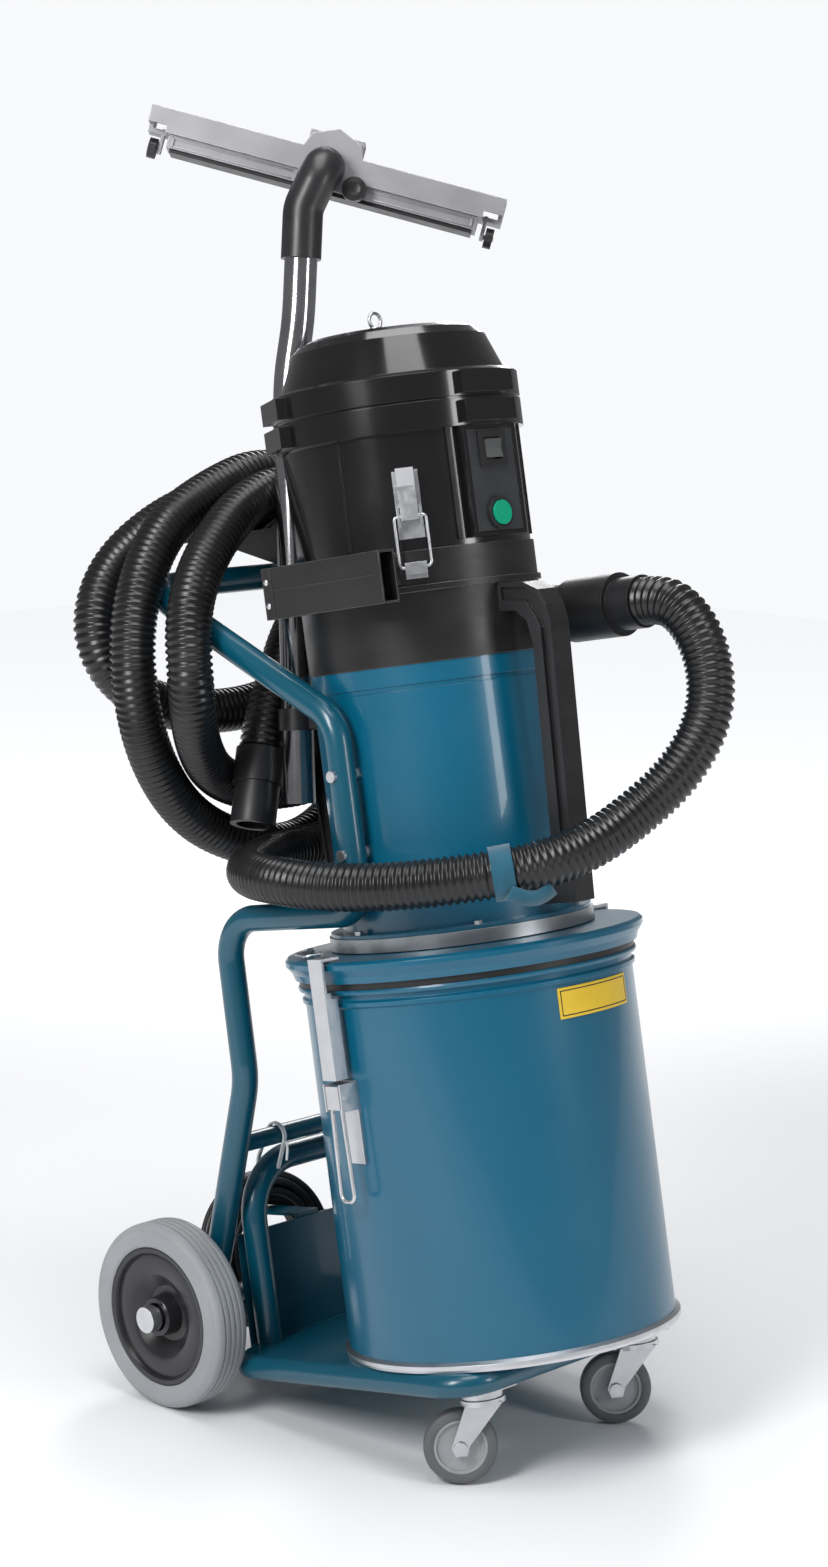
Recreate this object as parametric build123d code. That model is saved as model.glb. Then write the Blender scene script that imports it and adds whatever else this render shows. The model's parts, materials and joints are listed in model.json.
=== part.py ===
from build123d import *
import math
import os

# Dust collector on a leaning trolley. Millimetres, +Z up, -Y is the front (casters), +Y the rear (wheels).
# Every piece is drawn in the machine's own upright frame: the drum axis is x = y = 0 and the caster treads are
# near z = 0. On export the whole machine leans back by LEAN, so that all four wheels stand on the floor.

# ---- driving dimensions ----
LEAN = 10.8
CLEAR = 0.5                      # running clearance between moving pieces

TUBE_R = 14                      # frame tube
FRAME_X = 142                    # side tubes, left and right
WHEEL_R, WHEEL_W = 100, 45
WHEEL_X, WHEEL_Y = 200, 310
AXLE_R = 10
CASTER_R, CASTER_W = 37.5, 24
CASTER_X, CASTER_Y, CASTER_TRAIL = 118, -62, 28
CASTER_TURN = 45                 # how far the casters stand turned at rest

TRAY_HALF, TRAY_FRONT, TRAY_REAR = 178, -100, 272
TRAY_TOP, TRAY_RIM_R = 118, 12.5
WALL_BACK = 275.5                # rear face of the tray's upright wall

DRUM_R, DRUM_RING_R = 171, 175
DRUM_TOP, LID_TOP = 506, 536
LID_R = 187
RING_R = 138
SHELL_R = 123
SHELL_BOTTOM, SHELL_TOP = 556, 822
BAND_TOP = 934                   # top of the black separator band, where the motor head is lifted off
HEAD_R, HEAD_RIM_R = 121, 128.5
HEAD_SPLIT = 1082                # joint between motor head and its cover
HEAD_TOP = 1162
COVER_TOP_R = 93

HANDLE_HALF, HANDLE_OUT, HANDLE_GAP = 13.5, 190, 163
INLET_X, INLET_Z = 85, 855
SPIGOT_R, CUFF_R, HOSE_CUFF_R = 25, 32.5, 27
HOSE_R = 24.5
HOSE_START_Y = -230
WAND_R = 17.5
CABLE_R = 5
PIN_R, PIN_HOLE_R = 2, 2.1

# ---- the lean: world = turn about X, then lift to the floor ----
_lean = math.radians(LEAN)
CASTER_AXLE_Y = CASTER_Y + CASTER_TRAIL * math.cos(math.radians(CASTER_TURN))
_tilt = math.sin(math.radians(CASTER_TURN)) * math.sin(_lean)
CASTER_LOW = CASTER_R * math.sqrt(1 - _tilt**2) + (CASTER_W / 2 - 5) * _tilt
FLOOR_LIFT = CASTER_LOW - (CASTER_R * math.cos(_lean) - CASTER_AXLE_Y * math.sin(_lean))
WHEEL_Z = (WHEEL_R - FLOOR_LIFT + WHEEL_Y * math.sin(_lean)) / math.cos(_lean)
ORIGIN_Y = 198.9                 # middle of the machine's depth, cords not counted
STAND = Pos(0, -ORIGIN_Y, FLOOR_LIFT) * Rot(-LEAN, 0, 0)


# ---- helpers ----
def disc(radius, low, high, x=0, y=0):
    """A solid cylinder between two heights."""
    return Pos(x, y, low) * Cylinder(radius, high - low, align=(Align.CENTER, Align.CENTER, Align.MIN))


def ring(outer, inner, low, high, x=0, y=0):
    return disc(outer, low, high, x, y) - disc(inner, low - 1, high + 1, x, y)


def block(x, y, z):
    """A box from its (low, high) ranges."""
    middle = [(pair[0] + pair[1]) / 2 for pair in (x, y, z)]
    return Pos(*middle) * Box(x[1] - x[0], y[1] - y[0], z[1] - z[0])


def rod(start, end, radius):
    """A round bar from one point to another."""
    start, end = Vector(*start), Vector(*end)
    plane = Plane(origin=start, z_dir=end - start)
    return extrude(plane * Circle(radius), (end - start).length)


def turned(profile):
    """Revolves a closed outline of (radius, height) points about the drum axis."""
    return revolve(Plane.XZ * make_face(Polyline(*profile, close=True)), Axis.Z)


def bent_tube(points, radius, bends, hollow=0):
    """A tube along straight runs with rounded corners."""
    path = FilletPolyline(*points, radius=bends) if len(points) > 2 else Line(*points)
    plane = Plane(origin=path @ 0, z_dir=path % 0)
    tube = sweep(plane * Circle(radius), path)
    if hollow:
        tube -= sweep(plane * Circle(hollow), path)
    return tube


def side_plate(outline, x_low, x_high):
    """A plate across the machine, from an outline in (y, z)."""
    face = make_face(Polyline(*[(x_low, y, z) for y, z in outline], close=True))
    return extrude(face, x_high - x_low, dir=(1, 0, 0))


def along(start, end, share):
    """The point at a share of the way from one point to another."""
    start, end = Vector(*start), Vector(*end)
    return tuple(start + (end - start) * share)


def polar(angle, radius, z=0):
    """A point at an angle from the front (-Y), turning towards +X."""
    turn = math.radians(angle)
    return (radius * math.sin(turn), -radius * math.cos(turn), z)


def at_angle(angle):
    """Turns a piece drawn at the front (-Y) to an angle towards +X."""
    return Rot(0, 0, angle)


def corner_radii(route):
    """The largest arc that each corner's two runs allow, as a list."""
    radii = []
    for before, corner, after in zip(route, route[1:], route[2:]):
        first, second = Vector(*corner) - Vector(*before), Vector(*after) - Vector(*corner)
        half_turn = math.radians(first.get_angle(second)) / 2
        radii.append(0.45 * min(first.length, second.length) / math.tan(half_turn))
    return radii


def cord(name, route, radius):
    """A cord's tube, whose volume is compared with its section times its length."""
    radii = corner_radii(route)
    path = FilletPolyline(*route, radius=radii)
    tube = sweep(Plane(origin=path @ 0, z_dir=path % 0) * Circle(radius), path)
    expected = math.pi * radius**2 * path.length
    print(name, "radii", [round(r) for r in radii])
    print(name, "length", round(path.length), "volume ratio", round(tube.volume / expected, 4))
    return tube


# ---- trolley ----
COIL_CENTRE, COIL_R, COIL_BUNDLE_R = (-20, 352, 196), 70, 22
FRAME_BACK_Y, FRAME_KINK_Z, FRAME_SHELF_Z = 207, 430, 580
GRIP_Y, GRIP_Z = 262, 938


def frame_side(side):
    """One side of the bent main tube, from the wheel axle up to the grip's corner."""
    x = side * FRAME_X
    return [
        (x, WHEEL_Y + 6, WHEEL_Z - 14),
        (x, FRAME_BACK_Y, FRAME_KINK_Z - 22),
        (x, FRAME_BACK_Y - 2, FRAME_SHELF_Z),
        (x, 0, FRAME_SHELF_Z),
        (x, 0, 777),
        (x, GRIP_Y, GRIP_Z),
    ]


def handle_frame():
    """The single bent tube: up one side, across the grip and down the other side."""
    points = frame_side(-1) + frame_side(1)[::-1]
    bends = [90, 45, 14 + TUBE_R, 45, 42, 42, 45, 14 + TUBE_R, 45, 90]
    return bent_tube(points, TUBE_R, bends, hollow=TUBE_R - 2) - axle_bar()


def axle_bar():
    return rod((-WHEEL_X - 34, WHEEL_Y, WHEEL_Z), (WHEEL_X + 34, WHEEL_Y, WHEEL_Z), AXLE_R)


def frame_braces():
    """The hoop behind the drum, the cross tube above it and the cable hook on the rear wall."""
    x, y = 112, 258
    hoop = bent_tube([(-x, y, TRAY_TOP), (-x, y, 310), (x, y, 310), (x, y, TRAY_TOP)], TUBE_R, [62, 62], TUBE_R - 2)
    bar = rod((-FRAME_X, 241, 338), (FRAME_X, 241, 338), 10)
    for side in (-1, 1):
        bar -= bent_tube(frame_side(side)[:2], TUBE_R, [])
    bar = bar.solids().sort_by(lambda solid: solid.volume)[-1]
    top = COIL_CENTRE[2] + math.sqrt((COIL_R - COIL_BUNDLE_R)**2 - 16**2) - CLEAR
    hook = block((-36, -4), (WALL_BACK, WALL_BACK + 3), (200, top))
    hook += block((-36, -4), (WALL_BACK, 380), (top - 3, top))
    hook += block((-36, -4), (377, 380), (top, top + 14))
    return Compound([hoop, bar, hook])


def tray():
    """Pressed floor with a rolled rim all round and an upright rear wall."""
    rim_x = TRAY_HALF - TRAY_RIM_R
    rim_z = TRAY_TOP - TRAY_RIM_R
    front, rear = TRAY_FRONT + TRAY_RIM_R, TRAY_REAR - TRAY_RIM_R
    middle_y, depth = (front + rear) / 2, rear - front
    outline = Pos(0, middle_y, rim_z) * RectangleRounded(2 * rim_x, depth, 38)
    floor = extrude(Pos(0, 0, TRAY_RIM_R - 3) * outline, 3)
    path = outline.wire()
    rim = sweep(Plane(origin=path @ 0, z_dir=path % 0) * Circle(TRAY_RIM_R), path)
    wall = block((-125, 125), (WALL_BACK - 3, WALL_BACK), (TRAY_TOP - 20, 236))
    lip = block((-125, 125), (WALL_BACK - 9, WALL_BACK), (TRAY_TOP - 6, TRAY_TOP))
    return rim + floor + wall + lip


def caster_mounts():
    """Steel channels under the tray, each with a caster's top plate and bearing cup."""
    pieces = []
    for side in (-1, 1):
        x = side * CASTER_X
        pieces.append(block((x - 24, x + 24), (CASTER_Y - 8, CASTER_Y + 34), (93, TRAY_TOP - 3)))
        pieces.append(block((x - 29, x + 29), (CASTER_Y - 22, CASTER_Y + 32), (90, 93)))
        pieces.append(disc(21, 84, 90, x, CASTER_Y))
    return Compound([solid for piece in pieces for solid in piece.solids()])


def wheel_hub(side):
    """Dished plastic hub with a deep web, a bearing tube and the axle bore."""
    half = WHEEL_W / 2
    rim = ring(75, 67, -half + 1, half - 1)
    web = turned([(20, -6), (66, 4), (70, 4), (70, 10), (60, 10), (20, 0)])
    boss = ring(22, AXLE_R + 0.05, -half - 2, half + 2)
    ribs = [at_angle(60 * n) * block((-2.5, 2.5), (20, 68), (-16, 2)) for n in range(6)]
    hub = rim + web + boss
    for rib in ribs:
        hub += rib
    return wheel_place(side) * (hub - disc(AXLE_R + 0.05, -half - 5, half + 5))


def wheel_place(side):
    """Turns a wheel drawn along +Z so that its dished face looks outwards."""
    return Pos(side * WHEEL_X, WHEEL_Y, WHEEL_Z) * Rot(0, 90 * side, 0)


def wheel_tyre(side):
    half = WHEEL_W / 2
    outline = [(75, -half), (94, -half), (98, -half + 3), (WHEEL_R, -half + 9)]
    outline += [(WHEEL_R, half - 9), (98, half - 3), (94, half), (75, half)]
    return wheel_place(side) * turned(outline)


def wheel_axle():
    """Axle bar with its spacer sleeves and screwed end caps."""
    axle = axle_bar()
    for side in (-1, 1):
        spacer = (side * (FRAME_X + TUBE_R), side * (WHEEL_X - WHEEL_W / 2 - 2.5))
        cap = (side * (WHEEL_X + WHEEL_W / 2 + 2.5), side * (WHEEL_X + 37))
        for start, end in (spacer, cap):
            axle += rod((start, WHEEL_Y, WHEEL_Z), (end, WHEEL_Y, WHEEL_Z), 14)
    return axle


# ---- casters ----
def caster_place(side):
    """The frame of one caster: swivel axis up, wheel trailing along local +Y."""
    return Pos(side * CASTER_X, CASTER_Y, 0) * Rot(0, 0, CASTER_TURN)


def caster_fork(side):
    """Swivel crown with two cheeks that run down to the wheel's axle bolt."""
    cheek = [(-20, 80), (18, 80), (CASTER_TRAIL + 9, CASTER_R + 2), (CASTER_TRAIL + 6, CASTER_R - 8)]
    cheek += [(CASTER_TRAIL - 6, CASTER_R - 8), (CASTER_TRAIL - 10, CASTER_R + 2)]
    fork = disc(23, 78, 84 - CLEAR)
    inner = CASTER_W / 2 + 2
    for low in (-inner - 2.5, inner):
        fork += side_plate(cheek, low, low + 2.5)
    reach = inner + 2.5
    fork += rod((-reach, CASTER_TRAIL, CASTER_R), (reach, CASTER_TRAIL, CASTER_R), 4)
    for end in (-1, 1):
        fork += rod((end * reach, CASTER_TRAIL, CASTER_R), (end * (reach + 3.5), CASTER_TRAIL, CASTER_R), 7)
    return caster_place(side) * fork


def caster_wheel(side):
    """Plastic wheel with its bonded tread."""
    half = CASTER_W / 2
    wheel = ring(28, 4.1, -half + 3, half - 3) + ring(9, 4.1, -half - 1.5, half + 1.5)
    wheel -= ring(24, 10, half - 7, half)
    wheel -= ring(24, 10, -half, -half + 7)
    tread = [(27, -half + 1), (34, -half), (CASTER_R, -half + 5), (CASTER_R, half - 5), (34, half), (27, half - 1)]
    return caster_wheel_place(side) * (wheel + turned(tread))


def caster_wheel_place(side):
    return caster_place(side) * Pos(0, CASTER_TRAIL, CASTER_R) * Rot(0, 90, 0)


# ---- collecting drum ----
def drum():
    """Open steel drum: a floor, a thin wall, two rolled beads near the top and a curled rim."""
    wall = ring(DRUM_R, DRUM_R - 2, TRAY_TOP + 6, DRUM_TOP) + disc(DRUM_R, TRAY_TOP + 6, TRAY_TOP + 9)
    bead = turned([(DRUM_R - 1, 486), (DRUM_R + 3, 489), (DRUM_R + 3, 493), (DRUM_R - 1, 496)])
    curl = [(DRUM_R - 1, 500), (DRUM_R + 5, 501), (DRUM_R + 6, 504)]
    rim = turned(curl + [(DRUM_R + 5, DRUM_TOP), (DRUM_R - 1, DRUM_TOP)])
    return wall + bead + rim


def drum_base_ring():
    """Galvanised foot ring crimped round the bottom of the drum."""
    outline = [(DRUM_R, TRAY_TOP), (DRUM_RING_R, TRAY_TOP), (DRUM_RING_R + 1, TRAY_TOP + 3)]
    outline += [(DRUM_RING_R + 1, TRAY_TOP + 7), (DRUM_R, TRAY_TOP + 10)]
    foot = ring(DRUM_R, DRUM_R - 8, TRAY_TOP, TRAY_TOP + 6)
    return turned(outline) + foot


def drum_lid():
    """Pressed lid with a rolled flange and a raised centre that carries the separator."""
    skirt = [(DRUM_R - 5, 513), (LID_R - 8, 513), (LID_R - 6, 520), (LID_R - 3, 524), (LID_R, 528)]
    skirt += [(LID_R, 533), (LID_R - 3, LID_TOP), (100, LID_TOP + 2), (100, LID_TOP - 2), (DRUM_R - 5, 531)]
    return turned(skirt)


def lid_gasket():
    return ring(DRUM_R + 4, DRUM_R - 5, DRUM_TOP, 513)


def fixing_screws():
    """Base ring screws, the bolts that tie the frame to the shell, and the eyes of the lid's loop."""
    screws = []
    for angle in range(22, 382, 60):
        x, y, _ = polar(angle, RING_R - 7)
        screws.append(Pos(x, y, SHELL_BOTTOM) * extrude(RegularPolygon(4.5, 6), 4))
    for side in (-1, 1):
        for height in (640, 720):
            start, end = (side * SHELL_R, 0, height), (side * (FRAME_X - TUBE_R), 0, height)
            screws.append(rod(start, end, 7) - disc(SHELL_R, 600, 800))
            head = rod((side * (FRAME_X + TUBE_R - 1), 0, height), (side * (FRAME_X + TUBE_R + 3), 0, height), 6)
            screws.append(head - bent_tube(frame_side(side)[3:5], TUBE_R, []))
    return Compound([solid for screw in screws + loop_clips() for solid in screw.solids()])


CLAMP_ANGLES = {"left": -96, "right": 84}


def clamp_hardware():
    """For each side clamp, the strap that hooks over the lid and the toggle's base plate on the drum."""
    return Compound([at_angle(angle) * piece for angle in CLAMP_ANGLES.values() for piece in clamp_pieces()])


def clamp_pieces():
    strap = block((-11, 11), (-195, -192), (418, 540)) + block((-11, 11), (-195, -172), (538, 541))
    strap += block((-11, -8.5), (-192, -180), (418, 506)) + block((8.5, 11), (-192, -180), (418, 506))
    strap -= ring(LID_R + 1, 100, 500, 537.5)
    plate = block((-14, 14), (-174, -165), (330, 415)) - disc(DRUM_R, 320, 420)
    ears = block((-14, -11.5), (-194, -170), (386, 414)) + block((11.5, 14), (-194, -170), (386, 414))
    pin = rod((-15.5, -188, 400), (15.5, -188, 400), 2.5)
    base = plate + (ears - disc(DRUM_R, 320, 420)) + pin
    return [strap, base]


def clamp_lever(angle):
    """Toggle block and wire handle, turning on the base plate's pin."""
    toggle = block((-10.5, 10.5), (-194, -183), (388, 412)) - rod((-20, -188, 400), (20, -188, 400), 2.6)
    wire = bent_tube([(-8, -190, 389), (-11, -190, 294), (11, -190, 294), (8, -190, 389)], 2.2, [8, 8])
    return at_angle(angle) * (toggle + wire)


def lid_loop():
    """Small wire lifting loop lying on the lid."""
    y, z = 158, LID_TOP + 4.5
    points = [(-31, y, z), (-20, y, z), (-20, y + 18, z), (20, y + 18, z), (20, y, z), (31, y, z)]
    return at_angle(LOOP_ANGLE) * bent_tube(points, PIN_R, [4, 7, 7, 4])


def loop_clips():
    """Two small eyes, welded on the lid, that hold the lifting loop."""
    y, z = 158, LID_TOP + 4.5
    eyes = []
    for x in (-27, 27):
        eye = rod((x - 3, y, z), (x + 3, y, z), 4) + block((x - 3, x + 3), (y - 4, y + 4), (LID_TOP - 1, z))
        eyes.append(at_angle(LOOP_ANGLE) * (eye - rod((x - 5, y, z), (x + 5, y, z), PIN_HOLE_R)))
    return [eye - drum_lid() for eye in eyes]


LOOP_ANGLE = 62                  # where the lid's lifting loop lies


# ---- separator ----
def base_ring():
    """Clamping ring with its seal between lid and shell."""
    return ring(RING_R, 96, 538, 552)


def separator_shell():
    """Steel cylinder with a bottom flange and one rolled groove near its top."""
    wall = ring(SHELL_R, SHELL_R - 2, SHELL_BOTTOM, SHELL_TOP)
    groove = turned([(SHELL_R - 1.2, 797), (SHELL_R + 1, 797), (SHELL_R + 1, 802), (SHELL_R - 1.2, 802)])
    return wall - groove + ring(RING_R - 2, SHELL_R - 8, 552, SHELL_BOTTOM)


def separator_band():
    """Black cast upper section with the tangential inlet port and a seam ledge."""
    band = ring(SHELL_R + 1, SHELL_R - 5, SHELL_TOP, BAND_TOP)
    band += ring(SHELL_R + 4, SHELL_R - 2, 893, 899)
    port = rod((INLET_X, -30, INLET_Z), (INLET_X, -132, INLET_Z), SPIGOT_R + 5) - disc(SHELL_R - 3, 800, 940)
    band += port
    return band - rod((INLET_X, -20, INLET_Z), (INLET_X, -140, INLET_Z), SPIGOT_R)


def inlet_spigot():
    """Steel pipe that the hose cuff is pushed on."""
    outer = rod((INLET_X, -90, INLET_Z), (INLET_X, -176, INLET_Z), SPIGOT_R)
    return outer - rod((INLET_X, -80, INLET_Z), (INLET_X, -190, INLET_Z), SPIGOT_R - 2)


def deflector():
    """Inner skirt that keeps the incoming dust away from the filter."""
    return ring(95, 92, 790, 930) + ring(SHELL_R - 5, 92, 930, 933)


def filter_cartridge():
    """Pleated cartridge hanging inside the separator, with its two end caps."""
    star = []
    for n in range(48):
        radius = 84 if n % 2 else 74
        star.append((radius * math.cos(math.pi * n / 24), radius * math.sin(math.pi * n / 24)))
    pleats = extrude(Pos(0, 0, 640) * make_face(Polyline(*star, close=True)), 270) - disc(60, 600, 960)
    return Compound([pleats, disc(87, 630, 640), ring(91, 55, 910, 922)])


def channel_handles():
    """Two U-section grips standing off the shell, front and rear, bent over at the top."""
    outer = [(-118, 893), (-160, 889), (-178, 880), (-187, 864), (-HANDLE_OUT, 845), (-178, 566), (-118, 566)]
    inner = [(-118, 590), (-152, 590), (-HANDLE_GAP, 825), (-158, 850), (-145, 862), (-118, 864)]
    bar = side_plate(outer + inner, -HANDLE_HALF, HANDLE_HALF)
    groove = [(-128, 887), (-160, 884), (-174, 875), (-183, 861), (-HANDLE_OUT + 4, 844), (-176, 600)]
    groove += [(-166, 600), (-HANDLE_OUT + 14, 842), (-172, 852), (-160, 870), (-128, 874)]
    for side in (-1, 1):
        low, high = sorted((side * (HANDLE_HALF - 4), side * (HANDLE_HALF + 1)))
        bar -= side_plate(groove, low, high)
    bar -= disc(SHELL_R + 1, 540, 940)
    turns = (Rot(0, 0, 0), Rot(0, 0, 180))
    return Compound([(turn * bar).solids().sort_by(lambda s: s.volume)[-1] for turn in turns])


def tool_bracket():
    """Open channel on the left of the separator, for clipping nozzles, with its riveted end tab."""
    front, rear, low, high = -117, 53, 884, 936
    channel = block((-147, -145), (front, rear), (low, high)) + block((-167, -165), (front, rear), (low, high))
    channel += block((-167, -145), (front, rear), (high - 2, high)) + block((-167, -145), (front, rear), (low, low + 2))
    channel -= block((-150, -140), (front + 40, rear - 14), (low + 8, high - 8))
    channel += block((-166, -145), (rear, rear + 2), (low, high))
    for height in (low + 12, high - 12):
        channel += rod((-156, rear + 2, height), (-156, rear + 5, height), 4)
    foot = block((-147, -100), (-75, -40), (902, 930)) - disc(SHELL_R + 1, 880, 940)
    return channel + foot


def hose_hook():
    """Gusset plate at the rear with a rounded saddle that carries the coiled hose."""
    x, top = 15, 1002
    outline = [(118, 902), (118, 932), (136, 938), (180, top - 8), (322, top - 8), (322, top - 18)]
    outline += [(190, 936), (150, 902)]
    plate = side_plate(outline, x - 3, x + 3) - disc(SHELL_R + 1, 890, 950)
    saddle = rod((x, 180, top - 98), (x, 322, top - 98), 98) - rod((x, 170, top - 98), (x, 330, top - 98), 93)
    saddle -= block((-200, 200), (150, 360), (700, top - 17))
    stop = block((x - 20, x + 20), (322, 326), (top - 12, top + 22))
    return plate + saddle + stop


# ---- motor head ----
def head_shell():
    """Black moulded motor head, open below and above, with a rim band, a flat panel seat and lugs."""
    head = ring(HEAD_R, HEAD_R - 4, BAND_TOP, HEAD_SPLIT - 2)
    head += ring(HEAD_RIM_R, HEAD_R - 2, HEAD_SPLIT - 30, HEAD_SPLIT - 2)
    head += ring(HEAD_R - 3, 45, 940, 944)
    for angle in LUG_ANGLES:
        head += at_angle(angle) * (block((-36, 36), (-134, -116), (HEAD_SPLIT - 27, HEAD_SPLIT - 5)))
    head += block((-38, 38), (-127, -100), (940, HEAD_SPLIT - 30)) - disc(HEAD_R - 4, 930, HEAD_SPLIT)
    for angle in RIB_ANGLES:
        head += at_angle(angle) * block((-2.5, 2.5), (-123.5, -119), (940, HEAD_SPLIT - 30))
    return head - block((-33, 33), (-130, -125), (944, 1048))


LUG_ANGLES = (0, 120, 240)
RIB_ANGLES = (-77, -22, 43, 98, 163, 218)
LATCH_ANGLES = {"front": -45, "rear": 135}
LATCH_PIN = (-131, 968)           # y and z of a latch's pin, before it is turned to its angle
SWITCH_Z, BUTTON_Z = 1027, 962


def head_cover():
    """Domed cover with its own rim band, standing on the head's wall."""
    low = HEAD_SPLIT
    dome = turned([
        (HEAD_RIM_R, low), (HEAD_RIM_R, low + 26), (HEAD_RIM_R - 4, low + 29), (HEAD_RIM_R - 12, low + 30),
        (COVER_TOP_R + 8, HEAD_TOP - 12), (COVER_TOP_R, HEAD_TOP - 4), (COVER_TOP_R - 10, HEAD_TOP), (0, HEAD_TOP + 2),
        (0, HEAD_TOP - 3), (COVER_TOP_R - 14, HEAD_TOP - 5), (COVER_TOP_R + 2, HEAD_TOP - 14),
        (HEAD_RIM_R - 17, low + 26), (HEAD_RIM_R - 10, low), (HEAD_RIM_R - 10, low - 2), (HEAD_RIM_R - 4, low - 2),
        (HEAD_RIM_R - 4, low),
    ])
    for angle in LUG_ANGLES:
        dome += at_angle(angle) * block((-36, 36), (-134, -122), (low + 2, low + 24))
    return dome


def cover_knobs():
    """Thumb screws and the lifting eye on top of the cover."""
    knobs = []
    for x, y in ((-26, -12), (48, -20)):
        knobs.append(disc(7, HEAD_TOP + 1.5, HEAD_TOP + 6, x, y))
    eye = Pos(-26, -12, HEAD_TOP + 13) * Rot(90, 0, 0) * Torus(8, 1.8)
    pieces = [(knob - head_cover()) for knob in (knobs[0] + eye, knobs[1])]
    return Compound([piece.solids()[0] for piece in pieces])


def motor():
    """Suction motor standing on the deck, with the shaft's bore and the fan chamber."""
    body = disc(52, 962, 1060) + disc(62, 944, 962) + disc(20, 1060, 1080)
    return body - disc(5.1, 930, 1100) - disc(54, 948, 958)


def impeller():
    """Fan wheel on the motor shaft."""
    wheel = disc(5, 944.5, 1082) + disc(48, 950, 951.5) + disc(14, 951.5, 955.5)
    for n in range(9):
        wheel += Rot(0, 0, 40 * n) * block((13, 47), (-1, 1), (951.5, 955.5))
    return wheel


def control_panel():
    """Plate in the head's front seat, with cut-outs for switch and button."""
    plate = block((-32.5, 32.5), (-127, -125), (944.5, 1047.5))
    plate -= rod((0, -130, BUTTON_Z), (0, -120, BUTTON_Z), 15.6)
    return plate - block((-15.2, 15.2), (-130, -120), (SWITCH_Z - 14.2, SWITCH_Z + 14.2))


def panel_bezels():
    """The rocker's frame and the button's ring, clipped into the panel."""
    z = SWITCH_Z
    window = block((-11.5, 11.5), (-135, -120), (z - 11, z + 11))
    frame = block((-19, 19), (-130, -127), (z - 18, z + 18)) + block((-15, 15), (-127, -125), (z - 14, z + 14)) - window
    bezel = rod((0, -127, BUTTON_Z), (0, -131, BUTTON_Z), 17) + rod((0, -125, BUTTON_Z), (0, -127, BUTTON_Z), 15.5)
    return Compound([frame, bezel - rod((0, -120, BUTTON_Z), (0, -140, BUTTON_Z), 12.9)])


def rocker_switch():
    """Rocker that tips about a cross axis inside its frame."""
    z = SWITCH_Z
    return side_plate([(-127.2, z - 8), (-132.5, z - 9.5), (-130.5, z), (-132.5, z + 9.5), (-127.2, z + 8)], -11, 11)


def start_button():
    return rod((0, -128.4, BUTTON_Z), (0, -133, BUTTON_Z), 12.4)


def latch_hardware():
    """For each head latch, the base on the head, the wire bail and the catch on the separator band."""
    return Compound([at_angle(angle) * piece for angle in LATCH_ANGLES.values() for piece in latch_pieces()])


def latch_pieces():
    wall = disc(HEAD_R, 900, 1100)
    plate = block((-13, 13), (-HEAD_R - 1.5, -HEAD_R + 6), (946, 1014)) - wall
    ears = block((-12, -10), (-134, -110), (958, 978)) + block((10, 12), (-134, -110), (958, 978)) - wall
    pin = rod((-13, LATCH_PIN[0], LATCH_PIN[1]), (13, LATCH_PIN[0], LATCH_PIN[1]), PIN_R)
    y, top, low = LATCH_PIN[0], LATCH_PIN[1], 917
    corners = [(-11, y, top), (-16, y, top), (-16, y, low), (16, y, low), (16, y, top), (11, y, top)]
    bail = bent_tube(corners, 1.6, [3, 5, 5, 3])
    lip = [(-120, 906), (-126, 906), (-126, low + 2), (y - 3, low + 2), (y - 3, 910), (y - 6, 910)]
    lip += [(y - 6, low + 5), (-120, low + 5)]
    catch = side_plate(lip, -11, 11) - disc(SHELL_R + 1, 890, 940)
    return [plate + ears + pin + bail, catch]


def latch_lever(angle):
    """Bright lever plate of a head latch, turning on the base's pin."""
    y, z = LATCH_PIN
    outline = [(y - 3.5, z - 4), (y + 3.5, z - 4), (y + 4, z + 30), (y - 1, z + 48), (y - 5, z + 48), (y - 1, z + 30)]
    return at_angle(angle) * (side_plate(outline, -9, 9) - rod((-20, y, z), (20, y, z), PIN_HOLE_R))


# ---- suction hose ----
HOSE_ROUTE = [
    (85, -230, 855), (85, -250, 855), (88, -272, 845), (91, -292, 815), (89, -302, 770), (78, -297, 724),
    (54, -273, 680), (18, -245, 648), (-30, -222, 622), (-80, -195, 610), (-130, -145, 607), (-168, -85, 607),
    (-196, -25, 612), (-205, 48, 623), (-180, 120, 630), (-115, 182, 634), (-40, 222, 638), (50, 230, 640),
    (125, 212, 662), (180, 175, 720), (200, 152, 800), (190, 155, 880), (160, 170, 955), (100, 188, 1010),
    (25, 200, 1034), (-50, 197, 1016), (-125, 182, 964), (-180, 160, 905), (-195, 152, 830), (-155, 202, 770),
    (-84, 262, 728), (-10, 280, 706), (80, 272, 706), (158, 232, 750), (196, 212, 830), (200, 215, 915),
    (165, 232, 1000), (100, 244, 1034), (25, 245, 1057), (-55, 244, 1034), (-128, 242, 1000), (-188, 232, 925),
    (-205, 232, 845), (-176, 256, 758), (-104, 290, 686), (-20, 290, 645), (65, 294, 640), (145, 294, 685),
    (192, 296, 765), (205, 302, 860), (175, 308, 945), (105, 300, 1014), (20, 294, 1036), (-70, 298, 1016),
    (-140, 315, 972), (-180, 314, 915), (-172, 314, 862), (-125, 314, 820), (-50, 312, 798), (35, 310, 798),
    (100, 300, 820), (122, 276, 862), (92, 250, 892), (48, 232, 892), (12, 222, 862), (-18, 216, 818),
    (-45, 214, 778), (-55, 213, 751),
]
CUFF_LENGTH, CUFF_BORE_R = 83, WAND_R + 0.1


def hose():
    return cord("hose", HOSE_ROUTE, HOSE_R)


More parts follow.
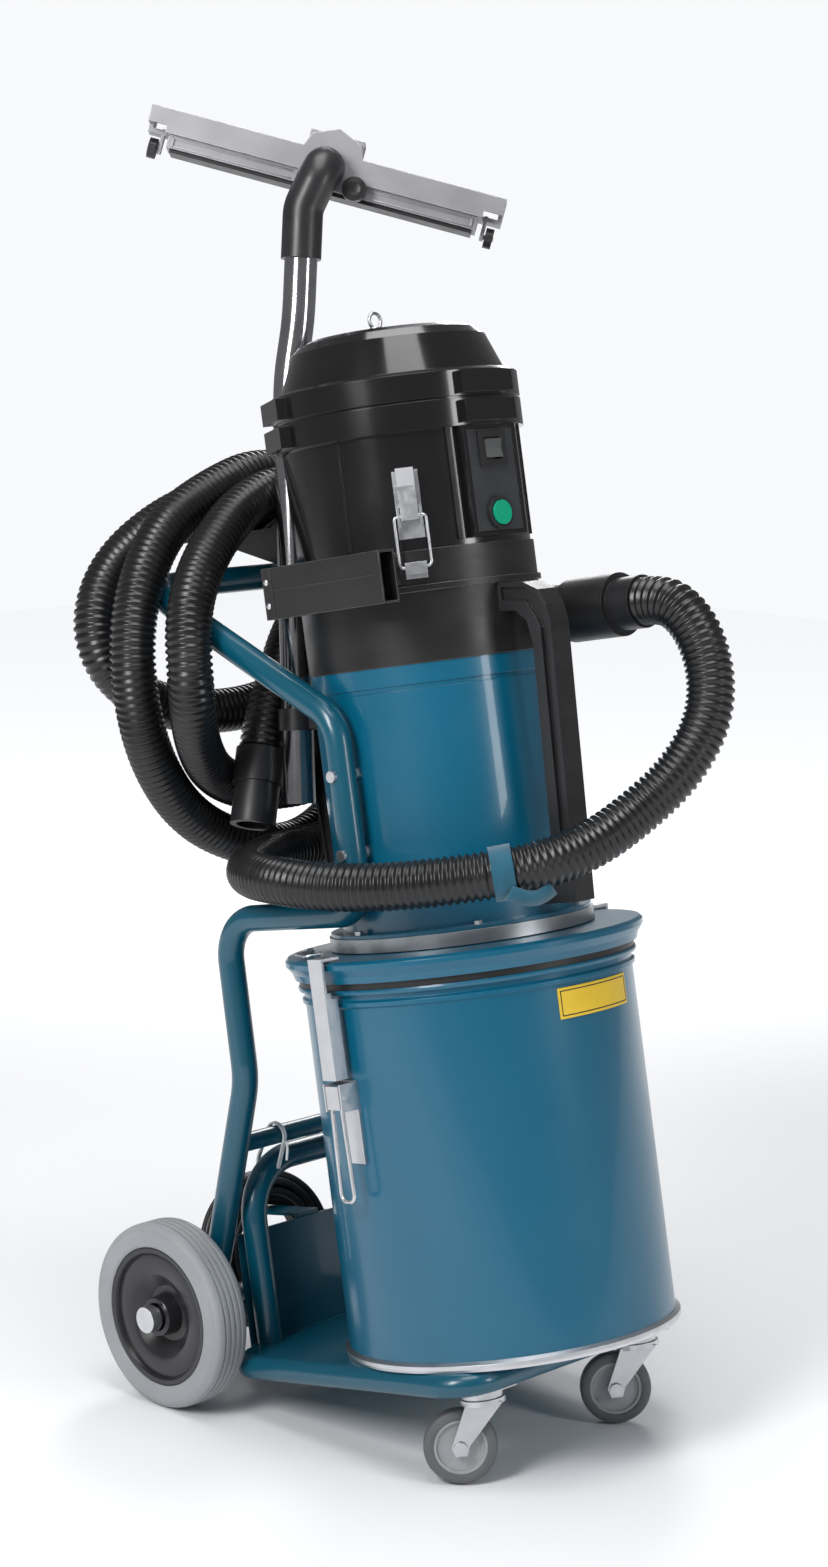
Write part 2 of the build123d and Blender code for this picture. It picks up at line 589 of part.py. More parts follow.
def inlet_cuff():
    """Rubber cuff clamped on the spigot, with the hose's own moulded end pushed into it."""
    sleeve = rod((INLET_X, -134, INLET_Z), (INLET_X, -200, INLET_Z), CUFF_R)
    sleeve -= rod((INLET_X, -130, INLET_Z), (INLET_X, -176, INLET_Z), SPIGOT_R)
    sleeve -= rod((INLET_X, -176, INLET_Z), (INLET_X, -205, INLET_Z), HOSE_CUFF_R)
    end = rod((INLET_X, -178, INLET_Z), (INLET_X, HOSE_START_Y, INLET_Z), HOSE_CUFF_R)
    end -= rod((INLET_X, -170, INLET_Z), (INLET_X, HOSE_START_Y + 5, INLET_Z), 19)
    return Compound([sleeve, end])


def hose_tool_cuff():
    """Stepped cuff on the hose's free end, with the bore that takes wands and tools."""
    top = Vector(*HOSE_ROUTE[-1])
    outwards = (top - Vector(*HOSE_ROUTE[-2])).normalized()
    step, tip = top + outwards * 38, top + outwards * CUFF_LENGTH
    body = rod(tuple(top), tuple(step), 27) + rod(tuple(step - outwards), tuple(tip), 24.5)
    return body - rod(tuple(top + outwards * 30), tuple(tip + outwards * 5), CUFF_BORE_R)


def hose_strap():
    """Band that ties the hose to the separator's front handle."""
    start, end = Vector(*HOSE_ROUTE[9]), Vector(*HOSE_ROUTE[10])
    plane = Plane(origin=(start + end) * 0.5, z_dir=end - start)
    band = extrude(plane * Circle(HOSE_R + 3), 11, both=True)
    return band - extrude(plane * Circle(HOSE_R + 0.5), 20, both=True)


# ---- wand and floor tool ----
WAND_LOW, WAND_NECK, WAND_BEND, WAND_TIP = (-51, 167, 690), (-8, 146.5, 1135), (4, 132.3, 1200), (15, 123.2, 1283)
ELBOW_START, ELBOW_END = along(WAND_BEND, WAND_TIP, 0.76), along(WAND_BEND, WAND_TIP, 1.5)
ELBOW_R, NECK_R = 21.5, 19.5
TOOL_FACING = Vector(0.7, 0.713, -0.037).normalized()    # from the elbow into the floor tool
TOOL_LENGTHWAYS = Vector(0.649, -0.66, -0.381)
TOOL_CENTRE = Vector(40, 100, 1361)                      # corner of the elbow, in front of the tool
TOOL_BACK = 34.5                                         # how far behind that corner the tool's face lies
TOOL_HALF = 197


def wand():
    """Bent steel suction tube, parked behind the head."""
    return bent_tube([WAND_LOW, WAND_NECK, WAND_BEND, WAND_TIP], WAND_R, [280, 380], hollow=WAND_R - 1.5)


def wand_holders():
    """Two open rings, on the band and on the shell, that hold the parked wand."""
    holders = []
    for share, height, foot_r in ((0.51, 917, SHELL_R + 1), (0.2, 779, SHELL_R)):
        low, high = along(WAND_LOW, WAND_NECK, share - 0.026), along(WAND_LOW, WAND_NECK, share + 0.026)
        middle = along(WAND_LOW, WAND_NECK, share)
        turn = 90 + math.degrees(math.atan2(middle[1], middle[0]))
        reach = math.hypot(middle[0], middle[1]) - WAND_R
        foot = at_angle(turn) * block((-9, 9), (-reach, -foot_r + 6), (height - 11, height + 11))
        holder = rod(low, high, WAND_R + 3.5) + foot - disc(foot_r, height - 60, height + 60)
        before, after = (along(WAND_LOW, WAND_NECK, share + step) for step in (-0.1, 0.1))
        holders.append(holder - rod(before, after, WAND_R))
    return Compound([holder.solids().sort_by(lambda s: s.volume)[-1] for holder in holders])


def elbow():
    """Moulded elbow on the wand's top, ending in the neck that the floor tool turns on."""
    neck = TOOL_CENTRE + TOOL_FACING * (TOOL_BACK + 30)
    path = [ELBOW_START, along(WAND_BEND, WAND_TIP, 1.4), tuple(TOOL_CENTRE), tuple(TOOL_CENTRE + TOOL_FACING * 26)]
    body = bent_tube(path, ELBOW_R, [38, 22.5])
    body += rod(tuple(TOOL_CENTRE + TOOL_FACING * 24), tuple(neck), NECK_R)
    body -= rod(along(WAND_BEND, WAND_TIP, 0.5), WAND_TIP, WAND_R)
    return body - rod(tuple(TOOL_CENTRE + TOOL_FACING * 10), tuple(neck + TOOL_FACING * 5), NECK_R - 4)


def tool_place():
    """The floor tool's own frame: +X along it, +Y up its face, +Z out of its face."""
    return Location(Plane(origin=TOOL_CENTRE + TOOL_FACING * TOOL_BACK, x_dir=TOOL_LENGTHWAYS, z_dir=-TOOL_FACING))


def floor_tool():
    """Cast aluminium nozzle: a hollow bar with a raised hub, a recessed rear strip and wheel brackets."""
    bar = block((-TOOL_HALF, TOOL_HALF), (-6, 20), (-42, 0)) + block((-172, 172), (-20, -6), (-42, -6))
    hub = Pos(4, 8, -42) * extrude(RegularPolygon(38, 8), 42) & block((-40, 50), (-20, 50), (-42, 0))
    hub += block((-26, 34), (0, 40), (-40, -4))
    tool = bar + hub - block((-TOOL_HALF + 5, TOOL_HALF - 5), (-1, 15), (-50, -4))
    tool -= block((-166, 166), (-16, -10), (-50, -10))
    tool -= disc(NECK_R + 0.1, -60, 10)
    for side in (-1, 1):
        low, high = sorted((side * 176, side * TOOL_HALF))
        tool -= block((low, high), (-10, 2), (-20, 5))
        arm = block((side * 180 - 2, side * 180 + 2), (-26, 0), (-30, -20))
        axle = rod((side * 180, -22, -25), (side * 193, -22, -25), 2.5)
        tool += arm + axle
    return tool_place() * tool


def tool_trim():
    """Rubber strips along the tool's mouth and the round adjusting knob beside the elbow."""
    strips = [block((-168, 168), (-24, -20), (-40, -10)), block((-190, 190), (16, 20), (-48, -42))]
    knob = disc(13, 0, 12, 36, -14).solids()[0]
    return tool_place() * Compound(strips + [knob])


def tool_wheel(side):
    """Small wheel in the tool's end bracket."""
    start, end = sorted((side * 183.5, side * 192))
    wheel = rod((start, -22, -25), (end, -22, -25), 11) - rod((start - 5, -22, -25), (end + 5, -22, -25), 2.6)
    return tool_place() * wheel


# ---- mains cable ----
GLAND_ANGLE, GLAND_Z = 150, 958
CABLE_ROUTE = [
    (75, 130, 958), (89, 154, 958), (102, 176, 943), (109, 189, 917), (106, 189, 880), (99, 182, 825),
    (93, 174, 760), (89, 168, 692), (88, 172, 628), (90, 190, 567), (92, 222, 508), (88, 254, 449),
    (76, 280, 388), (50, 297, 336), (10, 309, 298), (-33, 330, 274), (-69, 352, 246),
]
COIL_TURNS = 14


def cable_gland():
    """Screwed gland where the mains cable leaves the head."""
    gland = rod((0, -HEAD_R + 3, GLAND_Z), (0, -138, GLAND_Z), 11) + rod((0, -138, GLAND_Z), (0, -150, GLAND_Z), 8)
    return at_angle(GLAND_ANGLE) * (gland - disc(HEAD_R, 900, 1000))


def power_cable():
    return cord("cable", CABLE_ROUTE, CABLE_R)


def cable_coil():
    """The put-away cable: one bundle of COIL_TURNS turns, hung on the cable hook."""
    print("cable in the coil", round(COIL_TURNS * 2 * math.pi * COIL_R))
    return Pos(*COIL_CENTRE) * Rot(90, 0, 0) * Torus(COIL_R, COIL_BUNDLE_R)


def cable_tie():
    """Hook-and-loop tie round the bundle, at the bottom of the coil."""
    x, y, z = COIL_CENTRE
    centre = (x, y, z - COIL_R)
    band = rod((x - 9, y, centre[2]), (x + 9, y, centre[2]), COIL_BUNDLE_R + 4)
    return band - rod((x - 12, y, centre[2]), (x + 12, y, centre[2]), COIL_BUNDLE_R + 1.4)


def mains_plug():
    """Round earthed plug hanging beside the coil on the cable's end."""
    x, y, z = COIL_CENTRE
    plug_x = x + COIL_R + COIL_BUNDLE_R + 18
    body = bent_tube([(x + COIL_R, y, z + 18), (plug_x, y, z + 20), (plug_x, y, z - 18)], CABLE_R, [18])
    body += rod((plug_x, y, z - 10), (plug_x, y, z - 24), 8) + rod((plug_x, y, z - 24), (plug_x, y, z - 58), 17)
    for pin in (-9.5, 9.5):
        body += rod((plug_x + pin, y, z - 58), (plug_x + pin, y, z - 77), 2.4)
    return body


# ---- drum plate ----
def drum_plate():
    """Thin plate curved round the drum's front, for the filling limit."""
    wall = ring(DRUM_R + 1, DRUM_R, 453, 484)
    return at_angle(3) * (wall & block((-53, 53), (-200, -100), (450, 490)))


# ---- export: one file per piece ----
def pieces():
    fixed = [
        handle_frame, frame_braces, tray, wheel_axle, caster_mounts, drum, drum_base_ring, drum_lid, lid_gasket,
        fixing_screws, clamp_hardware, base_ring, separator_shell, separator_band, inlet_spigot, deflector,
        filter_cartridge, channel_handles, tool_bracket, hose_hook, head_shell, head_cover, cover_knobs, motor,
        control_panel, panel_bezels, latch_hardware, drum_plate, cable_gland, wand_holders, wand, elbow, hose,
        inlet_cuff, hose_tool_cuff, hose_strap, power_cable, cable_coil, cable_tie, mains_plug, impeller,
        rocker_switch, start_button, lid_loop, floor_tool, tool_trim,
    ]
    named = {maker.__name__: maker() for maker in fixed}
    for word, side in (("left", -1), ("right", 1)):
        for maker in (wheel_hub, wheel_tyre, caster_fork, caster_wheel, tool_wheel):
            named[f"{maker.__name__}_{word}"] = maker(side)
        named[f"clamp_lever_{word}"] = clamp_lever(CLAMP_ANGLES[word])
    for word, angle in LATCH_ANGLES.items():
        named[f"latch_lever_{word}"] = latch_lever(angle)
    return named


CORD_NODES = (
    "hose", "inlet_cuff", "hose_tool_cuff", "hose_strap", "power_cable", "cable_coil", "cable_tie", "mains_plug",
)

os.makedirs("parts", exist_ok=True)
standing = {name: STAND * piece for name, piece in pieces().items()}
for name, piece in standing.items():
    export_step(piece, f"parts/{name}.step")

body_box = Compound([piece for name, piece in standing.items() if name not in CORD_NODES]).bounding_box()
print(len(standing), "nodes; box without cords", body_box.min, body_box.max)
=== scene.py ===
import json
import math

import bmesh
import bpy
from mathutils import Matrix, Vector


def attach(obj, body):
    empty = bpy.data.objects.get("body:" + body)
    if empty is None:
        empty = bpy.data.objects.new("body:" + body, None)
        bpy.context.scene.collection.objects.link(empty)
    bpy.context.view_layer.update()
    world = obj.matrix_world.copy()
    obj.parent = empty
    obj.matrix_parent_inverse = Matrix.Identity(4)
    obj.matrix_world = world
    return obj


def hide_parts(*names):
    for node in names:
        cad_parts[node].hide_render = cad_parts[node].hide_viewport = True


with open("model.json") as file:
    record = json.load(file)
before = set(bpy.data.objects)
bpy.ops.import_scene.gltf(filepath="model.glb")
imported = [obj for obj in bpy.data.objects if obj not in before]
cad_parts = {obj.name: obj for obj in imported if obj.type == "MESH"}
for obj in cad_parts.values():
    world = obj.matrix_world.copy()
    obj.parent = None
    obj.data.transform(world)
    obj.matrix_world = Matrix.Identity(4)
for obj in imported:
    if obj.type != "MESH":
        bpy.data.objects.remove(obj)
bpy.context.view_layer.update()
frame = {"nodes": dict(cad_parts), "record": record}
nodes = frame["nodes"]
MM = 0.001
QUARTER = math.radians(90)

# ---- the machine leans back; routes and pieces are given in its own upright frame, in metres ----
LEAN = math.radians(10.8)
CASTER_R, CASTER_TREAD = 0.0375, 0.007
CASTER_X, CASTER_Y, CASTER_TRAIL = 0.118, -0.062, 0.028
CASTER_TURN = math.radians(45)
CASTER_AXLE_Y = CASTER_Y + CASTER_TRAIL * math.cos(CASTER_TURN)
TILT = math.sin(CASTER_TURN) * math.sin(LEAN)
CASTER_LOW = CASTER_R * math.sqrt(1 - TILT**2) + CASTER_TREAD * TILT
FLOOR_LIFT = CASTER_LOW - (CASTER_R * math.cos(LEAN) - CASTER_AXLE_Y * math.sin(LEAN))
ORIGIN_Y = 0.1989
STAND = Matrix.Translation((0, -ORIGIN_Y, FLOOR_LIFT)) @ Matrix.Rotation(-LEAN, 4, "X")


def standing(x, y, z):
    """A point of the upright frame, placed in the leaning machine."""
    return STAND @ Vector((x, y, z))


# ---- materials ----
def shader(name, colour, roughness, metallic=0.0, coat=0.0, bevel=0.8, sheen=0.0):
    """A principled material whose edges are softened by a bevel normal."""
    made = bpy.data.materials.new(name)
    made.use_nodes = True
    tree = made.node_tree
    principled = tree.nodes["Principled BSDF"]
    principled.inputs["Base Color"].default_value = (*colour, 1)
    principled.inputs["Roughness"].default_value = roughness
    principled.inputs["Metallic"].default_value = metallic
    principled.inputs["Coat Weight"].default_value = coat
    principled.inputs["Coat Roughness"].default_value = 0.06
    principled.inputs["Sheen Weight"].default_value = sheen
    if bevel:
        edge = tree.nodes.new("ShaderNodeBevel")
        edge.samples = 4
        edge.inputs["Radius"].default_value = bevel * MM
        tree.links.new(edge.outputs["Normal"], principled.inputs["Normal"])
    return made


def noise(tree, scale, detail=4.0, stretch=(1, 1, 1)):
    """Noise in the object's own metres."""
    coords = tree.nodes.new("ShaderNodeTexCoord")
    mapping = tree.nodes.new("ShaderNodeMapping")
    mapping.inputs["Scale"].default_value = stretch
    texture = tree.nodes.new("ShaderNodeTexNoise")
    texture.inputs["Scale"].default_value = scale
    texture.inputs["Detail"].default_value = detail
    tree.links.new(coords.outputs["Object"], mapping.inputs["Vector"])
    tree.links.new(mapping.outputs["Vector"], texture.inputs["Vector"])
    return texture.outputs["Fac"]


def ramp(tree, value, low, high, low_at=0.25, high_at=0.75):
    """Turns a value into a soft blend between two greys or colours."""
    node = tree.nodes.new("ShaderNodeValToRGB")
    node.color_ramp.interpolation = "B_SPLINE"
    node.color_ramp.elements[0].position = low_at
    node.color_ramp.elements[1].position = high_at
    for element, colour in zip(node.color_ramp.elements, (low, high)):
        element.color = (*colour, 1) if isinstance(colour, tuple) else (colour, colour, colour, 1)
    tree.links.new(value, node.inputs["Fac"])
    return node.outputs["Color"]


def tint(made, scale, dark, light, stretch=(1, 1, 1), detail=4.0):
    """Colour that drifts between two tones."""
    tree = made.node_tree
    tree.links.new(
        ramp(tree, noise(tree, scale, detail, stretch), dark, light),
        tree.nodes["Principled BSDF"].inputs["Base Color"],
    )
    return made


def uneven_gloss(made, scale, low, high, stretch=(1, 1, 1), detail=5.0):
    """Roughness that drifts between two values."""
    tree = made.node_tree
    tree.links.new(
        ramp(tree, noise(tree, scale, detail, stretch), low, high),
        tree.nodes["Principled BSDF"].inputs["Roughness"],
    )
    return made


def bumps(made, scale, depth_mm, strength=0.5, detail=3.0, stretch=(1, 1, 1)):
    """Small relief on top of the softened edges."""
    tree = made.node_tree
    principled = tree.nodes["Principled BSDF"]
    bump = tree.nodes.new("ShaderNodeBump")
    bump.inputs["Strength"].default_value = strength
    bump.inputs["Distance"].default_value = depth_mm * MM
    tree.links.new(noise(tree, scale, detail, stretch), bump.inputs["Height"])
    if principled.inputs["Normal"].is_linked:
        tree.links.new(principled.inputs["Normal"].links[0].from_socket, bump.inputs["Normal"])
    tree.links.new(bump.outputs["Normal"], principled.inputs["Normal"])
    return made


def worn_edges(made, colour, reach_mm=2.0):
    """Brighter colour where the surface turns sharply, broken up by noise."""
    tree = made.node_tree
    base = tree.nodes["Principled BSDF"].inputs["Base Color"]
    rounded = tree.nodes.new("ShaderNodeBevel")
    rounded.samples = 6
    rounded.inputs["Radius"].default_value = reach_mm * MM
    flat = tree.nodes.new("ShaderNodeNewGeometry")
    turn = tree.nodes.new("ShaderNodeVectorMath")
    turn.operation = "DOT_PRODUCT"
    tree.links.new(rounded.outputs["Normal"], turn.inputs[0])
    tree.links.new(flat.outputs["Normal"], turn.inputs[1])
    both = tree.nodes.new("ShaderNodeMath")
    both.operation = "MULTIPLY"
    tree.links.new(ramp(tree, turn.outputs["Value"], 1.0, 0.0, 0.86, 0.97), both.inputs[0])
    tree.links.new(ramp(tree, noise(tree, 90), 0.3, 1.0, 0.35, 0.6), both.inputs[1])
    mix = tree.nodes.new("ShaderNodeMix")
    mix.data_type = "RGBA"
    tree.links.new(both.outputs[0], mix.inputs["Factor"])
    tree.links.new(base.links[0].from_socket, mix.inputs["A"])
    mix.inputs["B"].default_value = (*colour, 1)
    tree.links.new(mix.outputs["Result"], base)
    return made


def teal_paint(name, dark, light):
    """Glossy enamel with a faint orange-peel relief."""
    made = tint(shader(name, light, 0.28, coat=0.35, bevel=1.2), 3.0, dark, light)
    uneven_gloss(made, 14, 0.26, 0.36, detail=2)
    return bumps(made, 420, 0.04, 0.1)


def gloss_black():
    """The head's deep gloss black."""
    made = shader("gloss_black", (0.006, 0.006, 0.007), 0.14, coat=0.4, bevel=1.2)
    tint(made, 6, (0.0035, 0.0035, 0.004), (0.008, 0.008, 0.009))
    uneven_gloss(made, 20, 0.12, 0.22)
    return bumps(made, 700, 0.03, 0.08)


def scuffed_black():
    """Satin black that hands and tools have polished in cloudy patches."""
    made = shader("scuffed_black", (0.02, 0.02, 0.02), 0.4, bevel=1.0)
    tint(made, 11, (0.0055, 0.0055, 0.006), (0.019, 0.0185, 0.019), (1, 1, 2), 3)
    uneven_gloss(made, 16, 0.28, 0.46, (1, 1, 2.5), 3)
    return bumps(worn_edges(made, (0.2, 0.2, 0.2), 1.2), 300, 0.05, 0.15)


def zinc_plate(name, dark, light, roughness=(0.25, 0.45)):
    """Plated steel, mottled at the scale of its zinc spangle."""
    made = tint(shader(name, light, 0.35, metallic=1.0, bevel=0.5), 35, dark, light, detail=2)
    uneven_gloss(made, 120, *roughness)
    return bumps(made, 500, 0.03, 0.2)


def cast_aluminium():
    """Grainy casting with its edges rubbed bright."""
    made = shader("cast_aluminium", (0.35, 0.35, 0.36), 0.45, metallic=0.75, bevel=1.5)
    tint(made, 20, (0.27, 0.27, 0.285), (0.36, 0.36, 0.38), detail=6)
    uneven_gloss(made, 60, 0.42, 0.56)
    return bumps(worn_edges(made, (0.7, 0.7, 0.72)), 420, 0.15, 0.35)


def polished_steel():
    """Bright tube steel with a gloss drawn out along it."""
    made = shader("polished_steel", (0.5, 0.5, 0.52), 0.12, metallic=1.0, bevel=0)
    tint(made, 30, (0.4, 0.4, 0.42), (0.56, 0.56, 0.58))
    return uneven_gloss(made, 40, 0.07, 0.2, (1, 1, 0.1))


def moulded(name, dark, light, roughness=(0.35, 0.5), grain=900):
    """Moulded plastic or rubber with a fine grain."""
    made = tint(shader(name, light, 0.4), 25, dark, light)
    uneven_gloss(made, 50, *roughness)
    return bumps(made, grain, 0.05, 0.3)


def grey_tyre():
    """Grey non-marking rubber, dusty and matt in patches."""
    made = shader("grey_tyre", (0.3, 0.31, 0.32), 0.62, bevel=0.6)
    tint(made, 18, (0.29, 0.3, 0.315), (0.36, 0.375, 0.39), detail=7)
    uneven_gloss(made, 45, 0.5, 0.75)
    return bumps(made, 500, 0.1, 0.4)


def woven(name, colour):
    """Webbing: fine bands across its own surface, with a faded, uneven colour."""
    made = shader(name, colour, 0.8, bevel=0, sheen=0.4)
    tint(made, 60, tuple(0.7 * part for part in colour), tuple(1.25 * part for part in colour))
    uneven_gloss(made, 150, 0.7, 0.9)
    tree = made.node_tree
    coords = tree.nodes.new("ShaderNodeTexCoord")
    wave = tree.nodes.new("ShaderNodeTexWave")
    wave.inputs["Scale"].default_value = 400
    bump = tree.nodes.new("ShaderNodeBump")
    bump.inputs["Distance"].default_value = 0.2 * MM
    tree.links.new(coords.outputs["Object"], wave.inputs["Vector"])
    tree.links.new(wave.outputs["Fac"], bump.inputs["Height"])
    tree.links.new(bump.outputs["Normal"], tree.nodes["Principled BSDF"].inputs["Normal"])
    return made


# ---- looks: each with its dark and its light tone, then its gloss where it isn't the usual one ----
TEAL = teal_paint("teal_drum", (0.0, 0.098, 0.178), (0.0, 0.12, 0.212))
TEAL_FRAME = teal_paint("teal_frame", (0.0, 0.07, 0.118), (0.0, 0.088, 0.142))
GLOSS_BLACK = gloss_black()
SCUFFED = scuffed_black()
ZINC = zinc_plate("zinc", (0.58, 0.59, 0.61), (0.7, 0.71, 0.73))
GREY_RING = zinc_plate("grey_ring", (0.3, 0.32, 0.34), (0.42, 0.44, 0.46), (0.3, 0.42))
STEEL = polished_steel()
ALUMINIUM = cast_aluminium()
PANEL = moulded("panel", (0.022, 0.024, 0.028), (0.034, 0.036, 0.04), (0.38, 0.5))
BLACK_PLASTIC = moulded("black_plastic", (0.012, 0.012, 0.013), (0.022, 0.022, 0.024), (0.28, 0.42))
HUB_BLACK = moulded("hub_black", (0.016, 0.016, 0.018), (0.028, 0.028, 0.031), (0.24, 0.36))
RUBBER = moulded("black_rubber", (0.008, 0.008, 0.009), (0.018, 0.018, 0.02), (0.34, 0.5))
HOSE_BLACK = moulded("hose_black", (0.006, 0.006, 0.0065), (0.011, 0.011, 0.012), (0.26, 0.38), 500)
TYRE = grey_tyre()
TREAD = moulded("caster_tread", (0.09, 0.092, 0.1), (0.14, 0.143, 0.15), (0.5, 0.65))
CASTER_GREY = moulded("caster_centre", (0.3, 0.31, 0.325), (0.4, 0.41, 0.425), (0.4, 0.55))
GREEN = moulded("green_button", (0.0, 0.31, 0.17), (0.0, 0.39, 0.22), (0.18, 0.32))
SMOKE = moulded("smoke_cover", (0.07, 0.074, 0.075), (0.105, 0.11, 0.11), (0.1, 0.2), 500)
YELLOW = moulded("yellow_plate", (0.72, 0.47, 0.02), (0.88, 0.6, 0.03), (0.32, 0.48))
FILTER = moulded("filter_paper", (0.6, 0.58, 0.5), (0.75, 0.73, 0.66), (0.8, 0.9))
WEBBING = woven("webbing", (0.0, 0.09, 0.15))
WHITE_TIE = moulded("white_tie", (0.66, 0.69, 0.7), (0.78, 0.81, 0.83), (0.32, 0.48), 700)

SLOT_LOOKS = {
    "frame_paint": TEAL_FRAME, "drum_paint": TEAL, "black_metal": SCUFFED, "zinc": ZINC,
    "steel_tube": STEEL, "grey_ring": GREY_RING, "black_gloss": GLOSS_BLACK,
    "black_plastic": BLACK_PLASTIC, "rubber": RUBBER, "tyre_grey": TYRE, "caster_tread": TREAD,
    "cast_alu": ALUMINIUM, "green": GREEN, "smoke": SMOKE, "plate": YELLOW, "filter": FILTER,
    "hose_plastic": HOSE_BLACK, "strap": WEBBING, "motor_metal": ALUMINIUM,
}
NODE_LOOKS = {
    "control_panel": PANEL, "wheel_hub_left": HUB_BLACK, "wheel_hub_right": HUB_BLACK,
    "cable_tie": WHITE_TIE,
}


def dress_nodes():
    """Every CAD node takes the look of its slot, or its own."""
    for subpart in frame["record"]["subparts"]:
        piece = nodes[subpart["node"]]
        look = NODE_LOOKS.get(subpart["node"], SLOT_LOOKS[subpart["material_slot"]])
        piece.data.materials.clear()
        piece.data.materials.append(look)
        for face in piece.data.polygons:
            face.material_index = 0


# ---- mesh helpers ----
def add_object(name, data, look, body="root"):
    """Puts data in the scene with its look, riding on a body."""
    piece = bpy.data.objects.new(name, data)
    bpy.context.scene.collection.objects.link(piece)
    data.materials.append(look)
    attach(piece, body)
    return piece


def mesh_of(name, points, faces):
    """A smooth-shaded mesh of points and faces."""
    mesh = bpy.data.meshes.new(name)
    mesh.from_pydata([tuple(p) for p in points], [], faces)
    mesh.validate()
    for face in mesh.polygons:
        face.use_smooth = True
    return mesh


def nurbs_curve(name, route):
    """An open NURBS spline with the route's points as its control points."""
    curve = bpy.data.curves.new(name, "CURVE")
    curve.dimensions = "3D"
    curve.resolution_u = 12
    spline = curve.splines.new("NURBS")
    spline.points.add(len(route) - 1)
    for point, place in zip(spline.points, route):
        point.co = (*place, 1)
    spline.order_u = 3
    spline.use_endpoint_u = True
    return curve


def centre_line(curve):
    """The points that Blender gives for the curve's own line."""
    holder = bpy.data.objects.new("line", curve)
    mesh = bpy.data.meshes.new_from_object(holder)
    points = [vertex.co.copy() for vertex in mesh.vertices]
    bpy.data.objects.remove(holder)
    bpy.data.meshes.remove(mesh)
    return points


def spaced(points, step):
    """The same line as points a fixed distance apart."""
    result, carried = [points[0].copy()], 0.0
    for start, end in zip(points, points[1:]):
        run = (end - start).length
        place = step - carried
        while place <= run:
            result.append(start.lerp(end, place / run))
            place += step
        carried = run - (place - step)
    return result


def travelling_frames(points):
    """For each point its tangent and two cross directions that don't twist."""
    tangents = [(b - a).normalized() for a, b in zip(points, points[1:])]
    tangents.append(tangents[-1])
    side = tangents[0].orthogonal().normalized()
    frames = []
    for tangent in tangents:
        side = (side - tangent * side.dot(tangent)).normalized()
        frames.append((tangent, side, tangent.cross(side)))
    return frames


def tube_mesh(name, points, radii, segments=20):
    """A closed tube through points, with its own radius at each point."""
    vertices, faces = [], []
    for (tangent, side, up), point, radius in zip(travelling_frames(points), points, radii):
        for n in range(segments):
            turn = 2 * math.pi * n / segments
            vertices.append(point + (side * math.cos(turn) + up * math.sin(turn)) * radius)
    for ring in range(len(points) - 1):
        for n in range(segments):
            after = (n + 1) % segments
            low, high = ring * segments, (ring + 1) * segments
            faces.append((low + n, low + after, high + after, high + n))
    faces.append(tuple(range(segments))[::-1])
    faces.append(tuple(len(vertices) - segments + n for n in range(segments)))
    return mesh_of(name, vertices, faces)


def revolved(name, profile, place, segments=96):
    """Turns a closed (radius, along) profile about the place's Z axis."""
    vertices, faces = [], []
    for n in range(segments):
        turn = 2 * math.pi * n / segments
        for radius, along in profile:
            vertices.append(place @ Vector((radius * math.cos(turn), radius * math.sin(turn), along)))
    count = len(profile)
    for n in range(segments):
        after = (n + 1) % segments
        for k in range(count):
            nxt = (k + 1) % count
            faces.append((n * count + k, after * count + k, after * count + nxt, n * count + nxt))
    return mesh_of(name, vertices, faces)


# ---- suction hose: the route of the CAD hose, in millimetres of the upright frame ----
HOSE_ROUTE = [
    (85, -230, 855), (85, -250, 855), (88, -272, 845), (91, -292, 815), (89, -302, 770),
    (78, -297, 724), (54, -273, 680), (18, -245, 648), (-30, -222, 622), (-80, -195, 610),
    (-130, -145, 607), (-168, -85, 607), (-196, -25, 612), (-205, 48, 623), (-180, 120, 630),
    (-115, 182, 634), (-40, 222, 638), (50, 230, 640), (125, 212, 662), (180, 175, 720),
    (200, 152, 800), (190, 155, 880), (160, 170, 955), (100, 188, 1010), (25, 200, 1034),
    (-50, 197, 1016), (-125, 182, 964), (-180, 160, 905), (-195, 152, 830), (-155, 202, 770),
    (-84, 262, 728), (-10, 280, 706), (80, 272, 706), (158, 232, 750), (196, 212, 830),
    (200, 215, 915), (165, 232, 1000), (100, 244, 1034), (25, 245, 1057), (-55, 244, 1034),
    (-128, 242, 1000), (-188, 232, 925), (-205, 232, 845), (-176, 256, 758), (-104, 290, 686),
    (-20, 290, 645), (65, 294, 640), (145, 294, 685), (192, 296, 765), (205, 302, 860),
    (175, 308, 945), (105, 300, 1014), (20, 294, 1036), (-70, 298, 1016), (-140, 315, 972),
    (-180, 314, 915), (-172, 314, 862), (-125, 314, 820), (-50, 312, 798), (35, 310, 798),
    (100, 300, 820), (122, 276, 862), (92, 250, 892), (48, 232, 892), (12, 222, 862),
    (-18, 216, 818), (-45, 214, 778), (-55, 213, 751),
]
HOSE_D, RIB_PITCH, RIB_DEPTH, CREST_DIP = 0.049, 0.0075, 0.0026, 0.0003


def ribbed_hose():
    """Corrugated hose: square-shouldered ribs along the smooth line of its route."""
    route = [standing(x * MM, y * MM, z * MM) for x, y, z in HOSE_ROUTE]
    line = centre_line(nurbs_curve("hose_line", route))
    quarter = spaced(line, RIB_PITCH / 4)
    crest, valley = HOSE_D / 2, HOSE_D / 2 - RIB_DEPTH
    pattern = (crest - CREST_DIP, crest, valley, valley)
    radii = [pattern[n % 4] for n in range(len(quarter))]
    piece = add_object("ribbed_hose", tube_mesh("ribbed_hose", quarter, radii, 24), HOSE_BLACK)
    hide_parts("hose")


